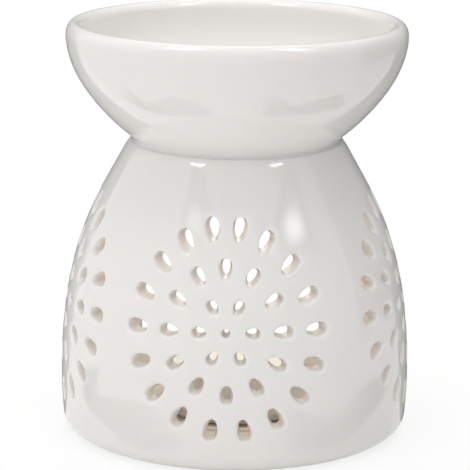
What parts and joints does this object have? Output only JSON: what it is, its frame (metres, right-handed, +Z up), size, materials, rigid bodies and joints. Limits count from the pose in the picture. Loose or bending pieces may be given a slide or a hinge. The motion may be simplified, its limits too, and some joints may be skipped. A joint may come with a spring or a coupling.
{
  "type": "essential oil burner",
  "caption": "Ceramic oil burner: a flared oil bowl on a rounded chamber pierced with petal medallions, open at the back for a tealight.",
  "frame": {"origin": "centre of the foot ring, on the surface that the burner stands on", "axes": "+Z up through the middle of the bowl, -Y out through the middle of the front medallion, +Y out through the rear arch"},
  "size_m": [0.0954, 0.0952, 0.1122],
  "materials": {
    "bowl_glaze": "gloss",
    "chamber_glaze": "gloss",
    "floor_glaze": "gloss",
    "cup_aluminium": "satin",
    "wax": "matte",
    "cotton": "matte",
    "tinplate": "satin"
  },
  "bodies": {
    "burner": {"oil_bowl": "bowl_glaze", "pierced_chamber": "chamber_glaze", "chamber_floor": "floor_glaze"},
    "tealight": {"tealight_cup": "cup_aluminium"},
    "candle": {"candle_wax": "wax", "wick": "cotton", "wick_sustainer": "tinplate"}
  },
  "joints": [
    {"name": "tealight_out", "type": "slide", "parent": "burner", "child": "tealight", "axis": [0, 0.9701, 0.2425], "range_m": [0, 0.075]},
    {"name": "candle_lift", "type": "slide", "parent": "tealight", "child": "candle", "axis": [0, 0, 1], "range_m": [0, 0.02]}
  ]
}
